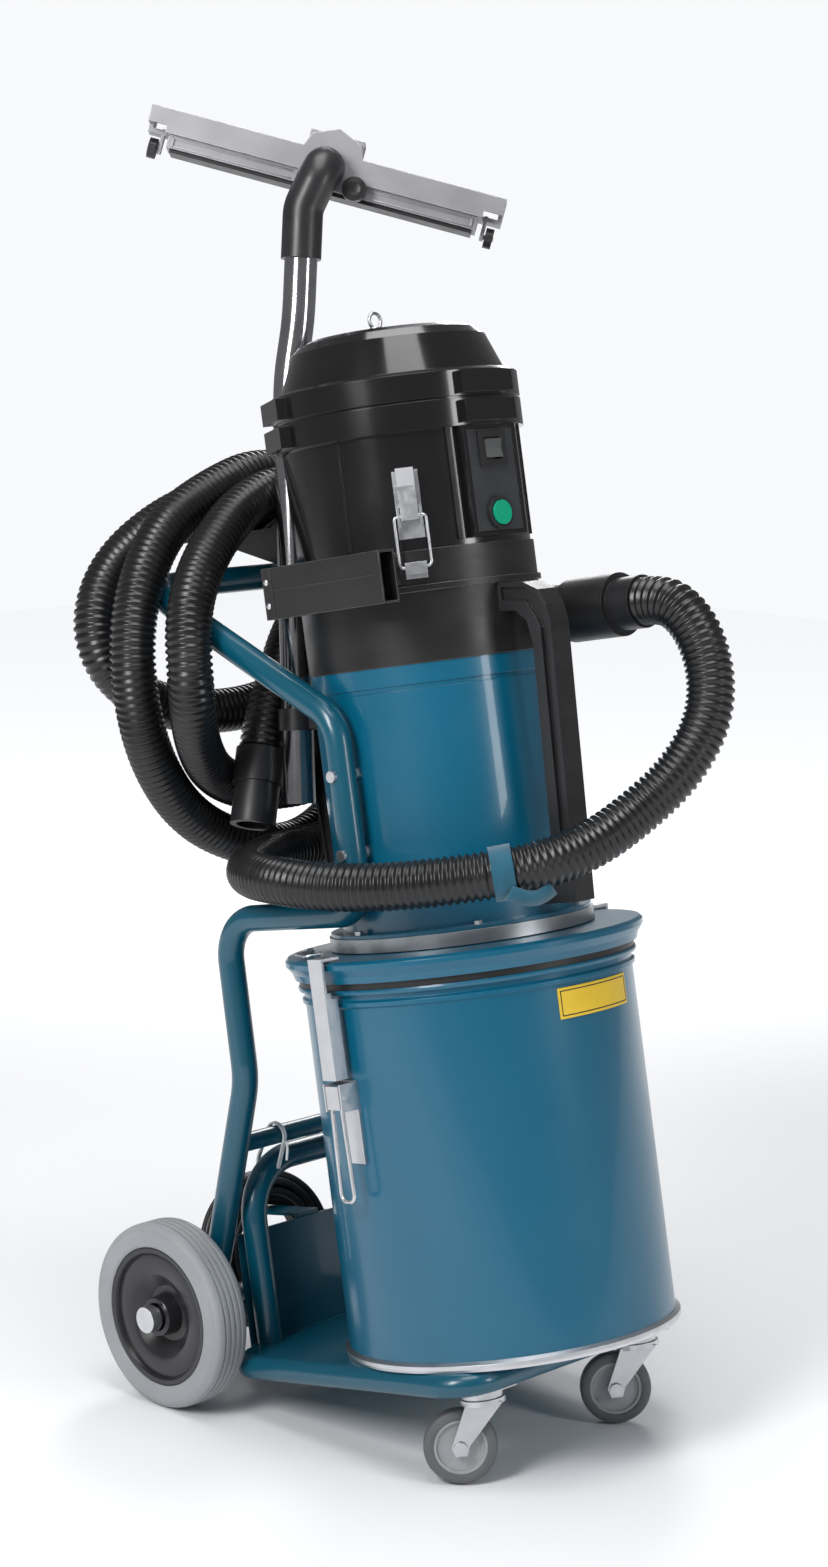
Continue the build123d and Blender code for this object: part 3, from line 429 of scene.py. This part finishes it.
# ---- mains cable: the route and the coil of the CAD cable, in millimetres of the upright frame ----
CABLE_ROUTE = [
    (75, 130, 958), (89, 154, 958), (102, 176, 943), (109, 189, 917), (106, 189, 880), (99, 182, 825),
    (93, 174, 760), (89, 168, 692), (88, 172, 628), (90, 190, 567), (92, 222, 508), (88, 254, 449),
    (76, 280, 388), (50, 297, 336), (10, 309, 298), (-33, 330, 274),
]
CABLE_D = 0.010
COIL_CENTRE, COIL_R = (-20, 352, 196), 70
COIL_PITCH, COIL_ROW = 10.8, 9.7
COIL_ROWS = (3, 4, 4, 3)
COIL_STEPS, COIL_MOVE = 16, 0.35
COIL_START = math.radians(45)


def coil_slots():
    """Places of the turns in the bundle's cross-section, row by row, each beside the one before."""
    slots = []
    for row, count in enumerate(COIL_ROWS):
        across = [(n - (count - 1) / 2) * COIL_PITCH for n in range(count)]
        if row % 2:
            across.reverse()
        slots += [(offset, (row - (len(COIL_ROWS) - 1) / 2) * COIL_ROW) for offset in across]
    return slots


def coil_points():
    """Turns that each move over to the next place during the last part of the round."""
    slots = coil_slots()
    x, y, z = COIL_CENTRE
    points = []
    for slot, following in zip(slots, slots[1:] + slots[-1:]):
        for step in range(COIL_STEPS):
            share = step / COIL_STEPS
            moved = max(0, (share - 1 + COIL_MOVE) / COIL_MOVE)
            radius = COIL_R + slot[0] + (following[0] - slot[0]) * moved
            sideways = slot[1] + (following[1] - slot[1]) * moved
            angle = COIL_START - 2 * math.pi * share
            points.append((x - radius * math.cos(angle), y + sideways, z + radius * math.sin(angle)))
    return points


def power_cable():
    """The mains lead: down behind the separator, then wound in its coil."""
    route = [standing(x * MM, y * MM, z * MM) for x, y, z in CABLE_ROUTE + coil_points()]
    curve = nurbs_curve("mains_cable", route)
    line = centre_line(curve)
    curve.bevel_depth = CABLE_D / 2
    curve.bevel_resolution = 4
    curve.use_fill_caps = True
    piece = add_object("mains_cable", curve, RUBBER)
    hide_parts("power_cable", "cable_coil")


# ---- small pieces ----
def ringed(name, body, node, look, place, profile):
    """A turned piece of a (radius, along) profile in millimetres, which may stand for a node."""
    mesh = revolved(name, [(r * MM, z * MM) for r, z in profile], place)
    piece = add_object(name, mesh, look, body)
    smooth_faces(piece)
    if node:
        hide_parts(node)
    return piece


def smooth_faces(piece, angle=32):
    """Smooth shading that keeps edges sharper than an angle, and a consistent outside."""
    mesh = piece.data
    work = bmesh.new()
    work.from_mesh(mesh)
    bmesh.ops.recalc_face_normals(work, faces=work.faces)
    for edge in work.edges:
        edge.smooth = len(edge.link_faces) == 2 and edge.calc_face_angle(0) < math.radians(angle)
    work.to_mesh(mesh)
    work.free()
    return piece


def rounded_block(name, place, size, look, round_mm=0.6, body="root"):
    """A box with rounded edges, centred in a place; sizes in millimetres."""
    work = bmesh.new()
    bmesh.ops.create_cube(work, size=1)
    bmesh.ops.scale(work, vec=[side * MM for side in size], verts=work.verts)
    bmesh.ops.bevel(work, geom=work.edges, offset=round_mm * MM, segments=3, affect="EDGES", profile=0.5)
    work.transform(place)
    mesh = bpy.data.meshes.new(name)
    work.to_mesh(mesh)
    work.free()
    for face in mesh.polygons:
        face.use_smooth = True
    return smooth_faces(add_object(name, mesh, look, body), 40)


def wire(name, points, radius, look):
    """A round wire or band along a short smooth path in the upright frame, in millimetres."""
    route = [standing(x * MM, y * MM, z * MM) for x, y, z in points]
    line = spaced(centre_line(nurbs_curve(name, route)), WIRE_STEP)
    return add_object(name, tube_mesh(name, line, [radius * MM] * len(line), 12), look)


WIRE_STEP = 1.5 * MM
WHEEL_R, WHEEL_HALF, WHEEL_X, WHEEL_Y = 100, 22.5, 200, 310
WHEEL_Z = (WHEEL_R * MM - FLOOR_LIFT + WHEEL_Y * MM * math.sin(LEAN)) / math.cos(LEAN) / MM
SIDES = {"left": -1, "right": 1}
TOOL_CORNER, TOOL_AXIS_DEPTH = (40, 100, 1361), 34.5


def tool_place():
    """The floor tool's own frame: +X along it, +Y up its face, +Z out of its face."""
    facing = Vector((0.7, 0.713, -0.037)).normalized()
    along = Vector((0.649, -0.66, -0.381))
    along = (along - facing * along.dot(facing)).normalized()
    turn = Matrix((along, (-facing).cross(along), -facing)).transposed()
    corner = Vector(TOOL_CORNER) + facing * TOOL_AXIS_DEPTH
    return STAND @ Matrix.Translation(corner * MM) @ turn.to_4x4()


TOOL_PLACE = tool_place()


def tyres():
    """Grey rubber tyres with grooves round the tread and a moulding line on the wall."""
    crown = []
    for groove in (-10.5, -3.5, 3.5, 10.5):
        crown += [(WHEEL_R, groove - 1.7), (WHEEL_R - 2.4, groove - 0.9)]
        crown += [(WHEEL_R - 2.4, groove + 0.9), (WHEEL_R, groove + 1.7)]
    wall = [(75, WHEEL_HALF - 2), (77, WHEEL_HALF - 0.4), (92, WHEEL_HALF), (93, WHEEL_HALF - 0.7)]
    wall += [(94, WHEEL_HALF - 0.5), (97.5, WHEEL_HALF - 2.5), (99, WHEEL_HALF - 5)]
    wall.append((WHEEL_R - 0.3, WHEEL_HALF - 8))
    profile = [(r, -z) for r, z in wall] + crown + wall[::-1]
    for side, sign in SIDES.items():
        place = wheel_place(sign)
        name, body, node = f"grooved_tyre_{side}", f"wheel_{side}", f"wheel_tyre_{side}"
        ringed(name, body, node, TYRE, place, profile)


def wheel_place(sign):
    """A big wheel's own frame, with +Z along the axle towards the outside."""
    turn = Matrix.Rotation(QUARTER * sign, 4, "Y")
    return STAND @ Matrix.Translation((sign * WHEEL_X * MM, WHEEL_Y * MM, WHEEL_Z * MM)) @ turn


def hubs():
    """Moulded hubs: a flush rim, a flat face and a deep cone round the bearing boss."""
    outside = [(14.6, 21), (15.4, 22), (20, 22), (21, 21), (22, 3.4), (25, 2), (30, 2.4), (44, 14.6)]
    outside += [(47, 16.4), (64, 16.6), (67, 15.4), (67.6, 18), (69, 20), (73.5, 20.4), (74.9, 19.6)]
    inside = [(74.9, -19.6), (70, -20.4), (67, -16), (64, -3), (30, -7), (23, -8), (22, -20)]
    inside += [(10.2, -20), (10.2, 8), (14.6, 9)]
    for side, sign in SIDES.items():
        name, body, node = f"dished_hub_{side}", f"wheel_{side}", f"wheel_hub_{side}"
        piece = ringed(name, body, node, HUB_BLACK, wheel_place(sign), outside + inside)


def caster_wheels():
    """Light grey wheels with a dished face and a darker bonded tread."""
    centre = [(4.2, 13.4), (9, 13.4), (9.4, 8), (20, 6.2), (23.5, 7), (24.5, 9.6), (27.6, 9.6), (28, 7)]
    tread = [(27.5, 10.6), (30, 11.2), (34, 10.8), (36.4, 9), (37.5, 6)]
    for side, sign in SIDES.items():
        stem = Matrix.Translation((sign * CASTER_X, CASTER_Y, 0)) @ Matrix.Rotation(CASTER_TURN, 4, "Z")
        axle = Matrix.Translation((0, CASTER_TRAIL, CASTER_R)) @ Matrix.Rotation(QUARTER, 4, "Y")
        place = STAND @ stem @ axle
        body = f"caster_wheel_{side}"
        profile = centre + [(r, -z) for r, z in centre[::-1]]
        ringed(f"caster_centre_{side}", body, body, CASTER_GREY, place, profile)
        profile = tread + [(r, -z) for r, z in tread[::-1]]
        ringed(f"caster_band_{side}", body, None, TREAD, place, profile)


DRUM_R, PLATE_ANGLE, PLATE_HALF, PLATE_LOW, PLATE_HIGH = 171, 3, 53, 453, 484
BORDER_INSET, BORDER_LINE, BORDER_R = 2.6, 1.1, DRUM_R + 1.12
BORDER_STEPS = 24


def plate_border():
    """The plain plate's printed black border line, a thin frame just proud of it."""
    half_turn = math.asin(PLATE_HALF / DRUM_R)
    vertices, faces = [], []

    def strip(turns, lows, highs):
        """One curved band of the border, as a run of flat pieces."""
        base = len(vertices)
        for turn in turns:
            for height in (lows, highs):
                x, y = BORDER_R * math.sin(turn), -BORDER_R * math.cos(turn)
                vertices.append(standing(x * MM, y * MM, height * MM))
        for n in range(len(turns) - 1):
            corner = base + 2 * n
            faces.append((corner, corner + 2, corner + 3, corner + 1))

    middle = math.radians(PLATE_ANGLE)
    outer = half_turn - BORDER_INSET / DRUM_R
    inner = outer - BORDER_LINE / DRUM_R
    around = [middle - outer + 2 * outer * n / BORDER_STEPS for n in range(BORDER_STEPS + 1)]
    low, high = PLATE_LOW + BORDER_INSET, PLATE_HIGH - BORDER_INSET
    strip(around, low, low + BORDER_LINE)
    strip(around, high - BORDER_LINE, high)
    for start, end in ((-outer, -inner), (inner, outer)):
        strip([middle + start, middle + end], low + BORDER_LINE, high - BORDER_LINE)
    piece = add_object("plate_border", mesh_of("plate_border", vertices, faces), BLACK_PLASTIC)
    thick = piece.modifiers.new("thickness", "SOLIDIFY")
    thick.thickness = 0.15 * MM


BRACKET_X = -167


def bracket_details():
    """Two zinc rivets, and a pressed crease and seam, on the tool bracket's outer wall."""
    profile = [(0.01, 1.6), (1.5, 1.4), (2.8, 0.8), (3.4, 0), (0.01, 0)]
    for n, height in enumerate((898, 922)):
        place = STAND @ Matrix.Translation((BRACKET_X * MM, 49 * MM, height * MM))
        place = place @ Matrix.Rotation(-QUARTER, 4, "Y")
        ringed(f"bracket_rivet_{n + 1}", "root", None, ZINC, place, profile)
    for name, y, z, size in (
        ("bracket_crease", -34, 913, (1.2, 150, 1.6)),
        ("bracket_seam", 41, 910, (1.2, 1.4, 50)),
    ):
        place = STAND @ Matrix.Translation(((BRACKET_X - 0.1) * MM, y * MM, z * MM))
        rounded_block(name, place, size, SCUFFED, 0.5)


STRAP_HALF, STRAP_THICK, STRAP_STEP = 8, 1.2, 3


def strap_tail():
    """The hose strap's loose end, hanging from its buckle in front of the hose."""
    points = [(-120, -190, 590), (-109, -196, 583), (-96, -201, 580), (-84, -205, 583), (-74, -209, 590)]
    route = [standing(x * MM, y * MM, z * MM) for x, y, z in points]
    line = spaced(centre_line(nurbs_curve("strap_line", route)), STRAP_STEP * MM)
    vertices, faces = [], []
    for point, (tangent, _, _) in zip(line, travelling_frames(line)):
        across = tangent.cross(Vector((0.55, 0.8, 0.2))).normalized()
        vertices += [point - across * STRAP_HALF * MM, point + across * STRAP_HALF * MM]
    for n in range(len(line) - 1):
        faces.append((2 * n, 2 * n + 2, 2 * n + 3, 2 * n + 1))
    piece = add_object("strap_tail", mesh_of("strap_tail", vertices, faces), WEBBING)
    piece.modifiers.new("thickness", "SOLIDIFY").thickness = STRAP_THICK * MM


def knob_cap():
    """Low ring and dished centre on the tool's adjusting knob, kept clear of the elbow above it."""
    place = TOOL_PLACE @ Matrix.Translation((36 * MM, -14 * MM, 12 * MM))
    profile = [(0.01, 0.05), (5.6, 0.05), (6.2, 0.3), (8.8, 0.3), (9.4, 0.05), (12.2, 0.05), (12.9, -0.8)]
    profile += [(12.9, -3), (0.01, -3)]
    ringed("knob_cap", "floor_tool", None, BLACK_PLASTIC, place, profile)


def tool_block(name, x, y, z, size, round_mm):
    """A small bright block on the floor tool, at a place in the tool's own frame."""
    place = TOOL_PLACE @ Matrix.Translation((x * MM, y * MM, z * MM))
    rounded_block(name, place, size, ALUMINIUM, round_mm, "floor_tool")


def tool_rails():
    """Machined rails along the recessed strip of the tool's face, and the strip's end stops."""
    for half, (low, high) in {"left": (-166, -34), "right": (56, 166)}.items():
        for n, height in enumerate((-9.4, -17.6)):
            size = (high - low, 1.6, 1.8)
            tool_block(f"tool_rail_{half}_{n + 1}", (low + high) / 2, height, -5.6, size, 0.5)
        end = low if half == "left" else high
        tool_block(f"tool_stop_{half}", end, -13.5, -5.4, (3, 9.5, 2.4), 0.6)


TIE_X, TIE_R = -80, 1.5
TIE_UPPER, TIE_LOWER = Vector((241, 338)), Vector((258, 310))
TIE_UPPER_R, TIE_MIDDLE_R, TIE_LOWER_R = 12.4, 14.6, 16.4


def frame_tie():
    """White tie round the cross tube and the hoop below it, with its loose tail."""
    down = (TIE_LOWER - TIE_UPPER).normalized()
    side = Vector((-down.y, down.x))
    middle = (TIE_UPPER + TIE_LOWER) / 2
    top, bottom = TIE_UPPER - down * TIE_UPPER_R, TIE_LOWER + down * TIE_LOWER_R
    loop = [top]
    loop += [top + side * TIE_UPPER_R, middle + side * TIE_MIDDLE_R, bottom + side * TIE_LOWER_R, bottom]
    loop += [bottom - side * TIE_LOWER_R, middle - side * TIE_MIDDLE_R, top - side * TIE_UPPER_R, top]
    for n, shift in enumerate((-1.4, 1.4)):
        piece = wire(f"frame_tie_{n + 1}", [(TIE_X + shift, y, z) for y, z in loop], TIE_R, WHITE_TIE)
    tail = [(TIE_X, 229, 330), (TIE_X - 3, 222, 330), (TIE_X - 9, 216, 322), (TIE_X - 14, 214, 312)]
    wire("frame_tie_tail", tail, TIE_R, WHITE_TIE)


# ---- studio ----
AMBIENT, BACKDROP = 0.2, 0.97
COOL_WHITE = (0.97, 0.98, 1.0)
FLOOR_HALF = 6
AIM = (0, 0, 0.7)
LIGHTS = [  # name, place, size and power
    ("key", (-2.6, -0.4, 2.3), 1.5, 64),
    ("front", (0.6, -3.0, 1.5), 1.0, 17),
    ("rim", (2.2, 1.8, 2.2), 1.5, 34),
    ("top", (-0.2, -0.3, 3.6), 2.6, 62),
]


def studio():
    """Pale floor, pale backdrop and four soft lights."""
    corners = [(x * FLOOR_HALF, y * FLOOR_HALF, 0) for x, y in ((-1, -1), (1, -1), (1, 1), (-1, 1))]
    floor = bpy.data.objects.new("floor", mesh_of("floor", corners, [(0, 1, 2, 3)]))
    bpy.context.scene.collection.objects.link(floor)
    floor.data.materials.append(paper())
    world = bpy.data.worlds.new("studio")
    bpy.context.scene.world = world
    world.use_nodes = True
    background = world.node_tree.nodes["Background"]
    background.inputs["Color"].default_value = (*COOL_WHITE, 1)
    seen = world.node_tree.nodes.new("ShaderNodeLightPath")
    level = world.node_tree.nodes.new("ShaderNodeMapRange")
    level.inputs["To Min"].default_value = AMBIENT
    level.inputs["To Max"].default_value = BACKDROP
    world.node_tree.links.new(seen.outputs["Is Camera Ray"], level.inputs["Value"])
    world.node_tree.links.new(level.outputs["Result"], background.inputs["Strength"])
    for name, place, size, power in LIGHTS:
        soft_light(name, place, size, power)


def paper():
    """Pale floor with a painted glow: it emits light that rises away from the machine, standing in for
    the light on a lit studio sweep.
    """
    made = shader("paper", (0.93, 0.935, 0.95), 0.8, bevel=0)
    bumps(tint(made, 2, (0.925, 0.93, 0.945), (0.935, 0.94, 0.955)), 300, 0.1, 0.1)
    tree = made.node_tree
    coords = tree.nodes.new("ShaderNodeTexCoord")
    away = tree.nodes.new("ShaderNodeVectorMath")
    away.operation = "LENGTH"
    # painted glow: emission strength grows with distance from the floor's centre under the machine,
    # standing in for studio light on the far floor
    painted_glow = tree.nodes.new("ShaderNodeMapRange")
    painted_glow.interpolation_type = "SMOOTHSTEP"
    for socket, value in (("From Min", 1.1), ("From Max", 3.6), ("To Min", 0.0), ("To Max", 0.72)):
        painted_glow.inputs[socket].default_value = value
    tree.links.new(coords.outputs["Object"], away.inputs[0])
    tree.links.new(away.outputs["Value"], painted_glow.inputs["Value"])
    principled = tree.nodes["Principled BSDF"]
    principled.inputs["Emission Color"].default_value = (*COOL_WHITE, 1)
    tree.links.new(painted_glow.outputs["Result"], principled.inputs["Emission Strength"])
    return made


def soft_light(name, place, size, power):
    """A tall area light aimed at the machine's middle."""
    light = bpy.data.lights.new(name, "AREA")
    light.shape = "RECTANGLE"
    light.size = size * 0.6
    light.size_y = size
    light.energy = power
    lamp = bpy.data.objects.new(name, light)
    bpy.context.scene.collection.objects.link(lamp)
    lamp.location = place
    lamp.rotation_euler = (Vector(AIM) - Vector(place)).to_track_quat("-Z", "Y").to_euler()


SENSOR, LENS, EYE = 36, 72.81, (-2.325, -2.128 - ORIGIN_Y, 1.235)


def camera():
    """The photograph's view, a little above the machine's front left."""
    data = bpy.data.cameras.new("camera")
    data.sensor_width = SENSOR
    data.lens = LENS
    viewer = bpy.data.objects.new("camera", data)
    bpy.context.scene.collection.objects.link(viewer)
    forward = Vector((0.7003, 0.6933, -0.1700)).normalized()
    right = Vector((0.7043, -0.7099, 0.0062))
    right = (right - forward * right.dot(forward)).normalized()
    turn = Matrix((right, right.cross(forward), -forward)).transposed()
    viewer.matrix_world = Matrix.Translation(EYE) @ turn.to_4x4()
    bpy.context.scene.camera = viewer
    bpy.context.scene.view_settings.view_transform = "Standard"


dress_nodes()
ribbed_hose()
power_cable()
tyres()
hubs()
caster_wheels()
plate_border()
bracket_details()
frame_tie()
strap_tail()
knob_cap()
tool_rails()
studio()
camera()
